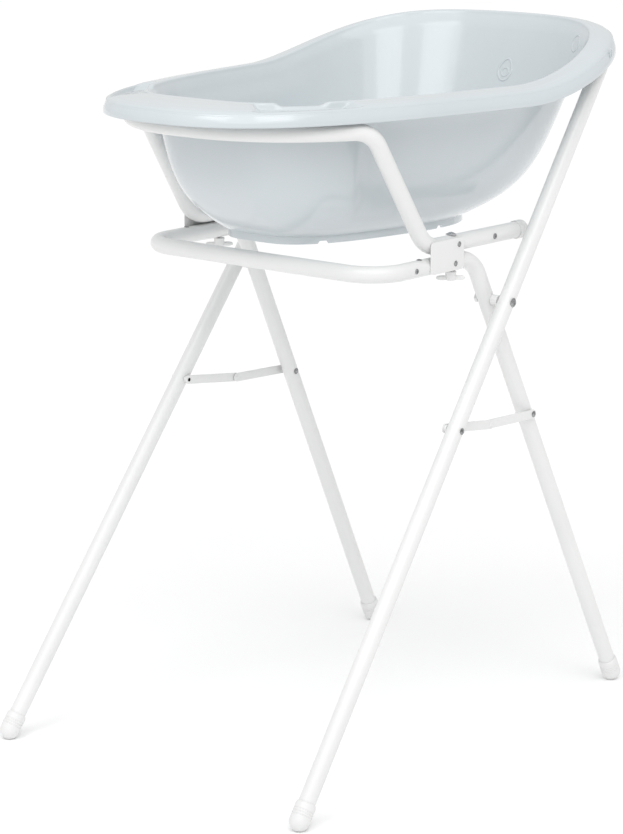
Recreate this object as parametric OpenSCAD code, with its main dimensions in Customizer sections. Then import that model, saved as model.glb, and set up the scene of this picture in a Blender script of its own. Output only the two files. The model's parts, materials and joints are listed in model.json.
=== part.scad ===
// Baby bath on a folding tubular stand.
// The bath hangs by its rim between a holder loop at the foot end and the outer leg frame's
// loop at the head end. The two leg frames cross at a pivot on each side and fold flat.
// Frame: +X runs from the foot end to the head end, +Y to the back, +Z up, floor at z = 0.

/* [Tube] */
// Outside diameter of every steel tube
tube_d = 25; // [24:0.5:26]
// Wall thickness of the tubes
tube_wall = 1.2; // [1:0.1:2]

/* [Legs] */
// Height of the two pivots where the leg frames cross
pivot_z = 675; // [665:1:685]
// Run of the outer legs for each millimetre that they rise
outer_lean = 0.757; // [0.74:0.001:0.77]
// Run of the inner legs for each millimetre that they rise
inner_lean = 0.497; // [0.485:0.001:0.505]
// Half width of the outer frame at the pivots
outer_half = 267.5; // [267:0.5:269]
// Half width of the inner frame at its top rails
inner_half = 228; // [226:0.5:229]

/* [Bath] */
// Length of the bath over its rim
bath_length = 888; // [880:1:890]
// Height of the rim's upper face at the foot end
rim_z = 990; // [989:1:992]
// How much higher the rim is at the head end
rim_rise = 71; // [69:1:73]
// Depth of the rim's hanging skirt
skirt_h = 27; // [25:0.5:29]
// Thickness of the bath's plastic wall
shell_t = 3; // [2.8:0.1:3.5]

/* [Spreaders] */
// Width of the flat spreader bars
link_w = 14; // [12:0.5:15]
// Sag of the spreader's middle joint below the straight line
link_sag = 5; // [4:0.5:8]

/* [Hidden] */
$fn = 48;

tube_r = tube_d / 2;
bore_r = tube_r - tube_wall;
run = 0.05;             // running clearance of a pin in its bore
lap = 1;                // how far a straight tube enters a bend
hair = 0.04;            // how much thicker a bend is than the straight tube

// The whole stand and bath are moved along X so that the origin is midway between
// the outer feet and the head end of the rim.
bath_x = -27.5;         // middle of the bath's length, measured from the pivots
foot_r = 15.2;          // radius of a plastic foot
foot_flat = 1.2;        // how much of a foot's round tip is cut off flat at the floor
outer_splay = 0.036;    // outward run of the outer legs for each millimetre they drop
inner_splay = 0.0303;   // the same for the inner legs
lower_z = 742;          // height of the inner frame's horizontal tubes
rail_z = lower_z + tube_d + 2.5;
outer_foot_x = -(pivot_z - foot_r + foot_flat) * outer_lean;
x_low = outer_foot_x - foot_r;
x_high = bath_x + bath_length / 2;
shift_x = -(x_low + x_high) / 2;

function unit(v) = v / norm(v);
function outer_y(z) = outer_half + (pivot_z - z) * outer_splay;
function inner_y(z) = inner_half + (lower_z - z) * inner_splay;
function outer_at(side, z) = [(z - pivot_z) * outer_lean, side * outer_y(z), z];
function inner_at(side, z) = [(pivot_z - z) * inner_lean, side * inner_y(z), z];

// Turning angle at point i of a path, and how far its bend reaches along the legs
function turn(p, i) = acos(unit(p[i] - p[i - 1]) * unit(p[i + 1] - p[i]));
function reach(p, b, i) = (i == 0 || i == len(p) - 1) ? 0 : b[i] * tan(turn(p, i) / 2);

// A straight round bar from point a to point b
module straight(a, b, r) {
    d = b - a;
    translate(a) rotate([0, acos(d[2] / norm(d)), atan2(d[1], d[0])]) cylinder(h = norm(d), r = r);
}

// A bend of radius bend at corner b between the straight runs a-b and b-c
module elbow(a, b, c, bend, r) {
    d1 = unit(b - a);
    d2 = unit(c - b);
    ang = acos(d1 * d2);
    n1 = unit(d2 - (d1 * d2) * d1);
    w = cross(d1, n1);
    o = b - d1 * (bend * tan(ang / 2)) + n1 * bend;
    multmatrix([
        [-n1[0], d1[0], w[0], o[0]],
        [-n1[1], d1[1], w[1], o[1]],
        [-n1[2], d1[2], w[2], o[2]],
        [0, 0, 0, 1]
    ]) rotate_extrude(angle = ang) translate([bend, 0]) circle(r = r);
}

// A bent bar through the points p, with bend radius b[i] at point i. The straight runs
// enter the bends by lap, and the bends are thicker by a hair, so that they join cleanly.
// The bar runs past its two ends by over.
module bent_bar(p, b, r, over) {
    last = len(p) - 1;
    for (i = [0:last - 1]) {
        d = unit(p[i + 1] - p[i]);
        from = i == 0 ? -over : reach(p, b, i) - lap;
        to = i == last - 1 ? -over : reach(p, b, i + 1) - lap;
        straight(p[i] + d * from, p[i + 1] - d * to, r);
    }
    for (i = [1:last - 1]) elbow(p[i - 1], p[i], p[i + 1], b[i], r + hair);
}

// A bent tube, hollow from end to end
module bent_tube(p, b) {
    difference() {
        union() bent_bar(p, b, tube_r, 0);
        union() bent_bar(p, b, bore_r, 1);
    }
}

// A round bar along Y on one side: side is -1 at the front and 1 at the back,
// from half width y0 outward to y1
module bar_y(x, z, side, y0, y1, r) {
    translate([x, side * y0, z]) rotate([-90 * side, 0, 0]) cylinder(h = y1 - y0, r = r);
}

// A low domed head of radius r and height h whose flat face is at half width y,
// with the dome pointing outward (out = 1) or inward (out = -1)
module head_y(x, z, side, y, out, r, h) {
    big = (r * r + h * h) / (2 * h);
    translate([x, side * y, z]) rotate([-90 * side * out, 0, 0]) dome(r, h, big);
}

module dome(r, h, big) {
    intersection() {
        translate([0, 0, h - big]) sphere(r = big);
        cylinder(h = h + 1, r = r + 1);
    }
}

/* ---- leg frames and holder loop ---- */
tube_end_z = 12;        // height of the tubes' ends inside the feet
top_z = 1007;           // where the outer arms bend into the head loop
head_x = 393;           // head end of the head loop
head_y = 150;
head_z = 1040;
lower_end_x = -256;     // foot end of the inner frame's horizontal tubes
loop_z = 950;           // height of the holder loop under the foot end of the rim
cap_x = 82;             // end of the holder loop's rails
rail_bend_x = -146;     // where the rails turn up
loop_corner = [-263, 222];
loop_end = [-405, 130];
head_bend = 230;        // radii of the bends
arm_bend = 45;
knee_bend = 50;
base_bend = 55;
upright_bend = 50;
corner_bend = 42;
arc_bend = 200;

link_a_z = 504;         // height of the spreader joint on the outer legs
link_b_z = 485;         // height of the spreader joint on the inner legs
pin_r = 3;              // spreader rivets and clamp bolts
pivot_r = 4;
clamp_x = -85;          // the vertical clamp bolts
rail_screw_x = 6;
side_screw_x = -181;    // the screw on the side of each lower tube
top_screw_x = -160;     // the screw on top of each lower tube

outer_path = [
    outer_at(-1, tube_end_z), outer_at(-1, top_z), [head_x, -head_y, head_z],
    [head_x, head_y, head_z], outer_at(1, top_z), outer_at(1, tube_end_z)
];
inner_top = (pivot_z - lower_z) * inner_lean;
inner_path = [
    inner_at(-1, tube_end_z), [inner_top, -inner_half, lower_z], [lower_end_x, -inner_half, lower_z],
    [lower_end_x, inner_half, lower_z], [inner_top, inner_half, lower_z], inner_at(1, tube_end_z)
];
loop_half = [
    [cap_x, inner_half, rail_z], [rail_bend_x, inner_half, rail_z],
    [loop_corner[0], loop_corner[1], loop_z], [loop_end[0], loop_end[1], loop_z]
];
function flip_y(p) = [p[0], -p[1], p[2]];
loop_path = concat(
    [for (p = loop_half) flip_y(p)],
    [for (i = [len(loop_half) - 1:-1:0]) loop_half[i]]
);

link_a_x = (link_a_z - pivot_z) * outer_lean;
link_b_x = (pivot_z - link_b_z) * inner_lean;

module outer_leg_frame() {
    color("white") difference() {
        bent_tube(outer_path, [0, arm_bend, head_bend, head_bend, arm_bend, 0]);
        for (side = [-1, 1]) {
            bar_y(0, pivot_z, side, outer_half - 20, outer_half + 20, pivot_r + run);
            bar_y(link_a_x, link_a_z, side, outer_half - 20, outer_half + 30, pin_r + run);
        }
    }
}

module inner_leg_frame() {
    color("white") difference() {
        bent_tube(inner_path, [0, knee_bend, base_bend, base_bend, knee_bend, 0]);
        for (side = [-1, 1]) {
            bar_y(0, pivot_z, side, inner_half - 20, inner_half + 20, pivot_r + run);
            bar_y(link_b_x, link_b_z, side, inner_half - 20, inner_half + 30, pin_r + run);
            translate([clamp_x, side * inner_half, lower_z - 20]) cylinder(h = 40, r = pin_r + run);
        }
    }
}

module holder_loop() {
    color("white") difference() {
        bent_tube(
            loop_path,
            [0, upright_bend, corner_bend, arc_bend, arc_bend, corner_bend, upright_bend, 0]
        );
        for (side = [-1, 1])
            translate([clamp_x, side * inner_half, rail_z - 20]) cylinder(h = 40, r = pin_r + run);
    }
}

/* ---- plastic feet and end caps ---- */
foot_h = 42;

// A plastic foot on a tube that points along dir, with its flat tread at z = 0
module foot(top, dir) {
    tip = foot_r - foot_flat;
    centre = top + dir * ((tip - top[2]) / dir[2]);
    difference() {
        translate(centre) rotate([0, acos(dir[2]), atan2(dir[1], dir[0])]) union() {
            sphere(r = foot_r);
            cylinder(h = foot_h - foot_r - 4, r = foot_r);
            translate([0, 0, foot_h - foot_r - 4]) cylinder(h = 4, r1 = foot_r, r2 = tube_r + 1);
        }
        straight(top, top + dir * 80, tube_r + run);
        translate([centre[0] - 40, centre[1] - 40, -40]) cube([80, 80, 40]);
    }
}

module outer_leg_feet() {
    color("white") for (side = [-1, 1])
        foot(outer_at(side, tube_end_z), unit(outer_at(side, 300) - outer_at(side, 0)));
}

module inner_leg_feet() {
    color("white") for (side = [-1, 1])
        foot(inner_at(side, tube_end_z), unit(inner_at(side, 300) - inner_at(side, 0)));
}

cap_r = 14;
cap_l = 20;
cap_round = 5;

module rail_end_caps() {
    color("white") for (side = [-1, 1]) translate([cap_x + 4, side * inner_half, rail_z])
        rotate([0, -90, 0]) difference() {
            union() {
                cylinder(h = cap_l - cap_round, r = cap_r);
                translate([0, 0, -cap_round]) cylinder(h = cap_round, r = cap_r - cap_round);
                rotate_extrude() translate([cap_r - cap_round, 0]) circle(r = cap_round);
            }
            translate([0, 0, 4]) cylinder(h = cap_l, r = tube_r + run);
        }
}

/* ---- brackets, screws and clamp bolts ---- */
plate_t = 2;
plate_x0 = -150;
plate_x1 = -72;
plate_z0 = lower_z - 10;
plate_z1 = rail_z + 10;
plate_corner = 7;
plate_y = inner_half + tube_r + run;
rivet_spots = [[-84, rail_z], [-92, lower_z]];

module bracket(side) {
    w = plate_x1 - plate_x0;
    h = plate_z1 - plate_z0;
    c = plate_corner;
    color("white") difference() {
        translate([plate_x0, side * (plate_y + plate_t / 2) + plate_t / 2, plate_z0])
            rotate([90, 0, 0]) linear_extrude(height = plate_t) union() {
                translate([c, 0]) square([w - 2 * c, h]);
                translate([0, c]) square([w, h - 2 * c]);
                for (x = [c, w - c], z = [c, h - c]) translate([x, z]) circle(r = c);
            }
        for (s = rivet_spots) bar_y(s[0], s[1], side, plate_y - 5, plate_y + 10, 2 + run);
    }
}

module bracket_front() { bracket(-1); }
module bracket_back() { bracket(1); }

module bracket_rivets() {
    color("silver") for (side = [-1, 1], s = rivet_spots) {
        head_y(s[0], s[1], side, plate_y + plate_t, 1, 4.2, 2);
        bar_y(s[0], s[1], side, plate_y + 0.3, plate_y + plate_t + lap, 2);
    }
}

module lower_tube_screws() {
    color("silver") for (side = [-1, 1]) {
        head_y(side_screw_x, lower_z, side, inner_half + tube_r + run, 1, 4, 2);
        translate([top_screw_x, side * inner_half, lower_z + tube_r + run])
            dome(4, 1.6, (16 + 1.6 * 1.6) / 3.2);
    }
}

module rail_screws() {
    color("silver") for (side = [-1, 1])
        head_y(rail_screw_x, rail_z, side, inner_half + tube_r + run, 1, 4.5, 2);
}

bolt_low_z = lower_z - 24.5;

module clamp_bolts() {
    color("silver") for (side = [-1, 1]) translate([clamp_x, side * inner_half, 0]) {
        translate([0, 0, bolt_low_z]) cylinder(h = rail_z + tube_r + run + 0.5 - bolt_low_z, r = pin_r);
        translate([0, 0, rail_z + tube_r + run]) cylinder(h = 1.2, r = 8);
        translate([0, 0, rail_z + tube_r + run + 1]) dome(6.5, 3.2, (6.5 * 6.5 + 3.2 * 3.2) / 6.4);
    }
}

knob_top_z = lower_z - tube_r - 1;
knob_h = 14;
wing_span = 44;
wing_t = 5;

module wing_knob(side) {
    color("white") translate([clamp_x, side * inner_half, knob_top_z - knob_h]) difference() {
        union() {
            cylinder(h = knob_h, r = 8.5);
            for (a = [-45, 135]) rotate([0, 0, a]) {
                translate([4, -wing_t / 2, 1]) cube([wing_span / 2 - 9, wing_t, 9]);
                translate([wing_span / 2 - 5, wing_t / 2, 6]) rotate([90, 0, 0])
                    cylinder(h = wing_t, r = 5);
            }
        }
        translate([0, 0, 2]) cylinder(h = knob_h, r = pin_r + run);
    }
}

module wing_knob_front() { wing_knob(-1); }
module wing_knob_back() { wing_knob(1); }

/* ---- pivots ---- */
pivot_in_y = inner_y(pivot_z) - tube_r;     // inner face of the inner tube
pivot_mid0 = inner_y(pivot_z) + tube_r;     // outer face of the inner tube
pivot_mid1 = outer_half - tube_r;           // inner face of the outer tube
pivot_out_y = outer_half + tube_r;          // outer face of the outer tube
fit_gap = 0.3;

module pivot_bolts() {
    color("silver") for (side = [-1, 1]) {
        bar_y(0, pivot_z, side, pivot_in_y - 6, pivot_out_y + fit_gap + lap, pivot_r);
        head_y(0, pivot_z, side, pivot_out_y + fit_gap, 1, 7, 3);
    }
}

module pivot_spacers() {
    color("white") for (side = [-1, 1]) difference() {
        bar_y(0, pivot_z, side, pivot_mid0 + fit_gap, pivot_mid1 - fit_gap, 8);
        bar_y(0, pivot_z, side, pivot_mid0 - 1, pivot_mid1 + 1, pivot_r + run);
    }
}

module pivot_nuts() {
    color("white") for (side = [-1, 1]) difference() {
        translate([0, side * (pivot_in_y - fit_gap), pivot_z]) rotate([90 * side, 0, 0])
            cylinder(h = 5, r = 7, $fn = 6);
        bar_y(0, pivot_z, side, pivot_in_y - 8, pivot_in_y + 2, pivot_r + run);
    }
}

/* ---- folding spreaders ---- */
link_t = 2.5;
inner_link_y = 251;                         // inner face of the inner bar
outer_link_y = inner_link_y + link_t + 0.5; // inner face of the outer bar
chord = [link_b_x - link_a_x, link_b_z - link_a_z];
sag_dir = [chord[1], -chord[0]] / norm(chord);
mid_x = (link_a_x + link_b_x) / 2 + sag_dir[0] * link_sag;
mid_z = (link_a_z + link_b_z) / 2 + sag_dir[1] * link_sag;

// A flat bar with round ends between two joints, its inner face at half width y
module link(side, x0, z0, x1, z1, y) {
    len_l = norm([x1 - x0, z1 - z0]);
    ang = atan2(z1 - z0, x1 - x0);
    color("white") difference() {
        translate([x0, side * (y + link_t / 2) + link_t / 2, z0]) rotate([0, -ang, 0])
            rotate([90, 0, 0]) linear_extrude(height = link_t) union() {
                translate([0, -link_w / 2]) square([len_l, link_w]);
                circle(d = link_w);
                translate([len_l, 0]) circle(d = link_w);
            }
        for (p = [[x0, z0], [x1, z1]]) bar_y(p[0], p[1], side, y - 2, y + link_t + 2, pin_r + run);
    }
}

module outer_link_front() { link(-1, link_a_x, link_a_z, mid_x, mid_z, outer_link_y); }
module outer_link_back() { link(1, link_a_x, link_a_z, mid_x, mid_z, outer_link_y); }
module inner_link_front() { link(-1, link_b_x, link_b_z, mid_x, mid_z, inner_link_y); }
module inner_link_back() { link(1, link_b_x, link_b_z, mid_x, mid_z, inner_link_y); }

link_a_in = outer_y(link_a_z) - tube_r;
link_a_out = outer_y(link_a_z) + tube_r;
link_b_in = inner_y(link_b_z) - tube_r;
link_b_out = inner_y(link_b_z) + tube_r;

module outer_link_rivets() {
    color("silver") for (side = [-1, 1]) {
        bar_y(link_a_x, link_a_z, side, outer_link_y, link_a_out + fit_gap + lap, pin_r);
        head_y(link_a_x, link_a_z, side, link_a_out + fit_gap, 1, 5, 2.2);
    }
}

module inner_link_rivets() {
    color("silver") for (side = [-1, 1]) {
        bar_y(link_b_x, link_b_z, side, link_b_in - fit_gap - lap, inner_link_y + link_t + lap, pin_r);
        head_y(link_b_x, link_b_z, side, inner_link_y + link_t + 0.1, 1, 5, 2);
        head_y(link_b_x, link_b_z, side, link_b_in - fit_gap, -1, 5, 2.2);
    }
}

module spacer(x, z, side, y0, y1) {
    color("white") difference() {
        bar_y(x, z, side, y0, y1, 5.5);
        bar_y(x, z, side, y0 - 1, y1 + 1, pin_r + run);
    }
}

module outer_link_spacers() {
    for (side = [-1, 1])
        spacer(link_a_x, link_a_z, side, outer_link_y + link_t + 0.1, link_a_in - fit_gap);
}

module inner_link_spacers() {
    for (side = [-1, 1])
        spacer(link_b_x, link_b_z, side, link_b_out + fit_gap, inner_link_y - 0.1);
}

// The middle rivet is open between the two bars: its head is fixed in the outer bar
// and its tail in the inner bar.
module mid_rivet(side) {
    color("white") {
        bar_y(mid_x, mid_z, side, outer_link_y, outer_link_y + link_t + lap, pin_r);
        head_y(mid_x, mid_z, side, outer_link_y + link_t + run, 1, 4.6, 1.4);
    }
}

module mid_tail(side) {
    color("white") {
        bar_y(mid_x, mid_z, side, inner_link_y - lap, inner_link_y + link_t, pin_r);
        head_y(mid_x, mid_z, side, inner_link_y - run, -1, 4.2, 1.2);
    }
}

module mid_rivet_front() { mid_rivet(-1); }
module mid_rivet_back() { mid_rivet(1); }
module mid_tail_front() { mid_tail(-1); }
module mid_tail_back() { mid_tail(1); }

/* ---- bath ---- */
rings = 96;                 // points round the bath
rim_half = 280;             // half width of the rim's egg shape at its middle
egg = [0.25, 0.12];         // how the half width grows towards the head end
foot_power = 2.6;           // bluntness of the foot end and of the head end
head_power = 2.15;
floor_z = 782;              // underside of the bath's bottom
ring_z = 770;               // lower edge of the ring under the bottom
base_low = -262;            // foot end and head end of the bottom
base_high = 147;
base_half = 136;
wall_half = 247.2;          // greatest half width of the wall at its top
rise_from = 25;             // the rim climbs between these two stations
rise_to = 425;
flange_w = 43;              // width of the rim along the sides and at the head end
shelf_w = 50;               // how much wider it is at the foot end, for the soap trays
tray_depth = 9;
tray_at = 134;              // angle from the head end to the middle of each soap tray
tray_span = 16;             // half the angle that a tray takes up
drain_x = -60;
drain_r = 17;

function spow(v, p) = sign(v) * pow(abs(v), p);
function power(c) = c > 0 ? head_power : foot_power;
function smooth(u) = let (v = max(0, min(1, u))) v * v * (3 - 2 * v);
function along(t) = spow(cos(t), 2 / power(cos(t)));
function rim_x(t) = bath_x + bath_length / 2 * along(t);
function rim_y(t) =
    rim_half * spow(sin(t), 2 / power(cos(t))) * (1 + egg[0] * along(t) + egg[1] * along(t) * along(t));
function rim_xy(t) = [rim_x(t), rim_y(t)];
function rim_out(t) = let (d = rim_xy(t + 0.5) - rim_xy(t - 0.5)) unit([d[1], -d[0]]);
function rim_top(x) = rim_z + rim_rise * smooth((x - rise_from) / (rise_to - rise_from));
function shelf(t) = pow((1 - cos(t)) / 2, 6);
function wall_inset(t) = flange_w + shelf_w * shelf(t);
function folded(t) = abs(t > 180 ? t - 360 : t);
function tray(t) = tray_depth * smooth((tray_span - abs(folded(t) - tray_at)) / 5);

// A point of the rim: inset from its outer edge, and dz above its crest
function rim_point(t, inset, dz) =
    let (p = rim_xy(t) - rim_out(t) * inset) [p[0], p[1], rim_top(rim_x(t)) + dz];

// A point of the wall: v is 0 at the rim and 1 at the bottom, and t_in is how far inside
// the outer face it lies
function mix(v, share, p) = share * v + (1 - share) * pow(v, p);
function wall_point(t, v, t_in) =
    let (
        top = rim_point(t, wall_inset(t), -8),
        low = bath_x - bath_length / 2 + flange_w + shelf_w + 1,
        high = bath_x + bath_length / 2 - flange_w,
        ux = (top[0] - (low + high) / 2) / ((high - low) / 2),
        new_low = low + (base_low - low) * (0.17 * (1 - pow(1 - v, 5)) + 0.83 * pow(v, 3.7)) + t_in,
        new_high = high + (base_high - high) * mix(v, 0.5, 7) - t_in,
        half = wall_half + (base_half - wall_half) * mix(v, 0.6, 7) - t_in,
        z = top[2] + (floor_z - top[2]) * v + t_in * smooth((v - 0.8) / 0.2)
    )
    [(new_low + new_high) / 2 + ux * (new_high - new_low) / 2, top[1] * half / wall_half, z];

wall_steps = [0, 0.12, 0.25, 0.38, 0.5, 0.61, 0.71, 0.8, 0.87, 0.93, 0.97, 0.992, 1];

function under(t) = [
    rim_point(t, shell_t, -skirt_h), rim_point(t, shell_t + 1, -14), rim_point(t, shell_t + 5, -6),
    rim_point(t, wall_inset(t) * 0.45, -shell_t), rim_point(t, wall_inset(t) * 0.7, -shell_t - tray(t)),
    rim_point(t, wall_inset(t) - 4, -shell_t - 1.5)
];
function over(t) = [
    rim_point(t, 0, -skirt_h), rim_point(t, 1.2, -13), rim_point(t, 4.5, -4.5), rim_point(t, 11, -0.5),
    rim_point(t, wall_inset(t) * 0.5, 1 - tray(t)), rim_point(t, wall_inset(t) * 0.78, 0.5 - tray(t)),
    rim_point(t, wall_inset(t) - 1, -1.5)
];
// One section of the shell, from the middle of the underside, out round the rim and back inside
function section(t) = concat(
    [for (i = [len(wall_steps) - 1:-1:0]) wall_point(t, wall_steps[i], 0)],
    [for (i = [len(under(t)) - 1:-1:0]) under(t)[i]],
    over(t),
    [for (v = wall_steps) wall_point(t, v, shell_t)]
);

module shell() {
    secs = [for (k = [0:rings - 1]) section(360 * k / rings)];
    n = len(secs[0]);
    mid = [(base_low + base_high) / 2, 0];
    points = concat(
        [for (s = secs, p = s) p],
        [[mid[0], 0, floor_z], [mid[0], 0, floor_z + shell_t]]
    );
    low_i = rings * n;
    high_i = low_i + 1;
    faces = concat(
        [for (k = [0:rings - 1], j = [0:n - 2]) let (m = (k + 1) % rings)
            [k * n + j, k * n + j + 1, m * n + j]],
        [for (k = [0:rings - 1], j = [0:n - 2]) let (m = (k + 1) % rings)
            [k * n + j + 1, m * n + j + 1, m * n + j]],
        [for (k = [0:rings - 1]) let (m = (k + 1) % rings) [low_i, k * n, m * n]],
        [for (k = [0:rings - 1]) let (m = (k + 1) % rings) [high_i, m * n + n - 1, k * n + n - 1]]
    );
    polyhedron(points = points, faces = faces, convexity = 6);
}

ring_t = 3.5;               // thickness of the ring under the bottom
notch_x = [-210, 10];       // notches in the ring's lower edge on each side
notch_w = 12;

// The outline of the bottom, drawn in by inset
function base_line(inset) =
    [for (k = [0:rings - 1]) let (p = wall_point(360 * k / rings, 1, inset)) [p[0], p[1]]];

// The ring that the bath stands on when it is off its stand
module base_ring() {
    difference() {
        translate([0, 0, ring_z]) linear_extrude(height = floor_z - ring_z + 1.5) difference() {
            polygon(base_line(3));
            polygon(base_line(3 + ring_t));
        }
        for (x = notch_x)
            translate([x - notch_w / 2, -base_half - 5, ring_z - 1])
                cube([notch_w, 2 * base_half + 10, 5]);
    }
}

rib_t = 4;                  // ribs under the rim, which rest on the two loops
rib_y = 60;
rib_gap = 0.3;

// Two ribs between stations x0 and x1 that reach from height z0 up into the rim at height z1
module ribs(x0, x1, z0, z1) {
    for (side = [-1, 1])
        translate([x0, side * rib_y - rib_t / 2, z0]) cube([x1 - x0, rib_t, z1 - z0]);
}

module bath_tub() {
    color("lightsteelblue") difference() {
        union() {
            shell();
            base_ring();
            ribs(loop_end[0] - 22, loop_end[0] + 22, loop_z + tube_r + rib_gap, rim_z - 2);
            ribs(head_x - 10, head_x + 10, head_z + tube_r + rib_gap, rim_top(head_x) - 2);
        }
        translate([drain_x, 0, floor_z - 5]) cylinder(h = 20, r = drain_r);
    }
}

module drain_plug() {
    color("dimgray") translate([drain_x, 0, floor_z + shell_t + 0.4]) union() {
        cylinder(h = 3, r = drain_r + 4);
        translate([0, 0, -shell_t - 0.4]) cylinder(h = shell_t + 0.4, r = drain_r - 0.4);
        translate([0, 0, 3]) cylinder(h = 7, r = 4);
        translate([0, 0, 10]) sphere(r = 6);
    }
}

// Every piece is moved along X from the pivots to the common origin
module placed() {
    translate([shift_x, 0, 0]) children();
}

placed() outer_leg_frame();
placed() inner_leg_frame();
placed() holder_loop();
placed() outer_leg_feet();
placed() inner_leg_feet();
placed() rail_end_caps();
placed() bracket_front();
placed() bracket_back();
placed() bracket_rivets();
placed() lower_tube_screws();
placed() rail_screws();
placed() clamp_bolts();
placed() wing_knob_front();
placed() wing_knob_back();
placed() pivot_bolts();
placed() pivot_spacers();
placed() pivot_nuts();
placed() outer_link_front();
placed() outer_link_back();
placed() inner_link_front();
placed() inner_link_back();
placed() outer_link_rivets();
placed() inner_link_rivets();
placed() outer_link_spacers();
placed() inner_link_spacers();
placed() mid_rivet_front();
placed() mid_rivet_back();
placed() mid_tail_front();
placed() mid_tail_back();
placed() bath_tub();
placed() drain_plug();
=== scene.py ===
import json
import math

import bpy
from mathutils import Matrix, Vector


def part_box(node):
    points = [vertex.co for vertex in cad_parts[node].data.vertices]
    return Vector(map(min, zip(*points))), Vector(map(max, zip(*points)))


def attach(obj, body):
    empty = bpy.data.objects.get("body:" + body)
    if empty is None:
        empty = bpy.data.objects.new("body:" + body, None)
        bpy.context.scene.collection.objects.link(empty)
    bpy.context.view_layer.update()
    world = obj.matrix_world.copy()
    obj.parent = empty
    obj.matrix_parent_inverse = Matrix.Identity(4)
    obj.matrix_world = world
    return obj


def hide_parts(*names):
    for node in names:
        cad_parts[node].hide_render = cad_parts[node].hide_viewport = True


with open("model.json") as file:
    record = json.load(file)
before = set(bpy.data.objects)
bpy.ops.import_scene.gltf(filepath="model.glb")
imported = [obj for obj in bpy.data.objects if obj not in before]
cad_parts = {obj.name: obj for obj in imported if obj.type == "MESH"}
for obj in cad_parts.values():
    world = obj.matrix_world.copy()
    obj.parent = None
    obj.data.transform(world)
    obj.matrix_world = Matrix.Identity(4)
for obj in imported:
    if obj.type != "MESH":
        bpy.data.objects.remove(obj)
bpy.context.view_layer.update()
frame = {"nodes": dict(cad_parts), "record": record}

MM = 0.001

# ---- the bath's measures, as in the CAD source ---------------------------------------
BATH_X, BATH_L = -27.5, 888.0
RIM_HALF, EGG = 280.0, (0.25, 0.12)
FOOT_POWER, HEAD_POWER = 2.6, 2.15
RIM_Z, RIM_RISE, RISE_FROM, RISE_TO = 990.0, 71.0, 25.0, 425.0
FLANGE_W, SHELF_W, SHELL_T = 43.0, 50.0, 3.0
TRAY_DEPTH, TRAY_AT, TRAY_SPAN = 9.0, 134.0, 16.0
FLOOR_Z, RING_Z, RING_T = 782.0, 770.0, 3.5
BASE_LOW, BASE_HIGH, BASE_HALF, WALL_HALF = -262.0, 147.0, 136.0, 247.2
NOTCH_X, NOTCH_W, NOTCH_H, NOTCH_FROM_Y = (-210.0, 10.0), 12.0, 4.0, 60.0
DRAIN_X, DRAIN_R = -60.0, 17.0
RIB_T, RIB_Y, RIB_GAP = 4.0, 60.0, 0.3
WALL_DROP = 8.0
# Curves of the walls from rim to bottom. The foot end's mixes 1 - (1 - v)^a and v^b, the
# other two mix v and v^b, with the share of the first named here.
FOOT_SHARE, FOOT_BOW, FOOT_SINK = 0.17, 5, 3.7
HEAD_SHARE, SIDE_SHARE, WALL_SINK = 0.5, 0.6, 7

# ---- the bath's details that only the visible model has ------------------------------
RIM_ROLL = 6.5                                  # fall of the rim's face at its outer edge
CREASE_D, CREASE_FROM, CREASE_TO = 9.0, 50.0, 114.5     # dent in the side wall, angles
LIP_NOTCH_D, LIP_NOTCH_HALF, LIP_NOTCH_OFF = 5.2, 8.5, 1.5
TRAY_RAMP, CAD_TRAY_RAMP = 3.2, 5.0             # degrees from a tray's edge to its full depth
RIDGE_AT, RIDGE_HALF, RIDGE_H = (3.2, 9.0), 0.9, 1.5    # ridges in the soap trays

# ---- the stand's measures ------------------------------------------------------------
TUBE_R, TUBE_WALL = 12.5, 1.2
PIVOT_Z = 675.0
OUTER_LEAN, OUTER_HALF, OUTER_SPLAY = 0.757, 267.5, 0.036
INNER_LEAN, INNER_HALF, INNER_SPLAY = 0.497, 228.0, 0.0303
LOWER_Z = 742.0
RAIL_Z = LOWER_Z + 2 * TUBE_R + 2.5
TUBE_END_Z, TOP_Z = 12.0, 1007.0
HEAD_X, HEAD_Y, HEAD_Z = 393.0, 150.0, 1040.0
HEAD_KNEE_BEND, HEAD_BEND = 45, 230
LOWER_END_X, LOWER_KNEE_BEND, LOWER_BEND = -256.0, 50, 55
LOOP_Z, CAP_X, RAIL_BEND_X = 950.0, 82.0, -146.0
LOOP_CORNER, LOOP_END = (-263.0, 222.0), (-405.0, 130.0)
RAIL_BEND, UPRIGHT_BEND, LOOP_BEND = 50, 42, 200
CLAMP_X, KNOB_DROP = -85.0, 15
FOOT_R, FOOT_TIP, FOOT_GROOVES = 15.2, 14.0, (7.0, 11.0, 15.0)
PLATE_X, PLATE_Z, PLATE_T = (-150.0, -72.0), (LOWER_Z - 10, RAIL_Z + 10), 2.0
SKIN_GAP = 0.05                                 # between a tube and what lies on it
PLATE_Y = INNER_HALF + TUBE_R + SKIN_GAP
LINK_A, LINK_B, LINK_SAG = (-171 * OUTER_LEAN, 504.0), (190 * INNER_LEAN, 485.0), 5.0
LINK_W, LINK_T, LINK_Y = 14.0, 2.5, 251.0
SOCKET_R = TUBE_R + 0.06                        # bore of the feet and end caps
RIVET_SPOTS = ((-84.0, RAIL_Z), (-92.0, LOWER_Z))
SIDE_SCREW_X, TOP_SCREW_X, RAIL_SCREW_X = -181.0, -160.0, 6.0
# Heads as (radius, height, depth of the cross recess).
RIVET, SIDE_SCREW = (4.2, 2.0, 0.0), (4.0, 2.0, 1.1)
TOP_SCREW, RAIL_SCREW = (4.0, 1.6, 0.9), (4.5, 2.0, 1.1)
SIDES = ((-1, "front"), (1, "back"))

# The CAD model is centred on its own box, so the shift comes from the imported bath.
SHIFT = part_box("bath_tub")[1].x / MM - (BATH_X + BATH_L / 2)


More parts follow.
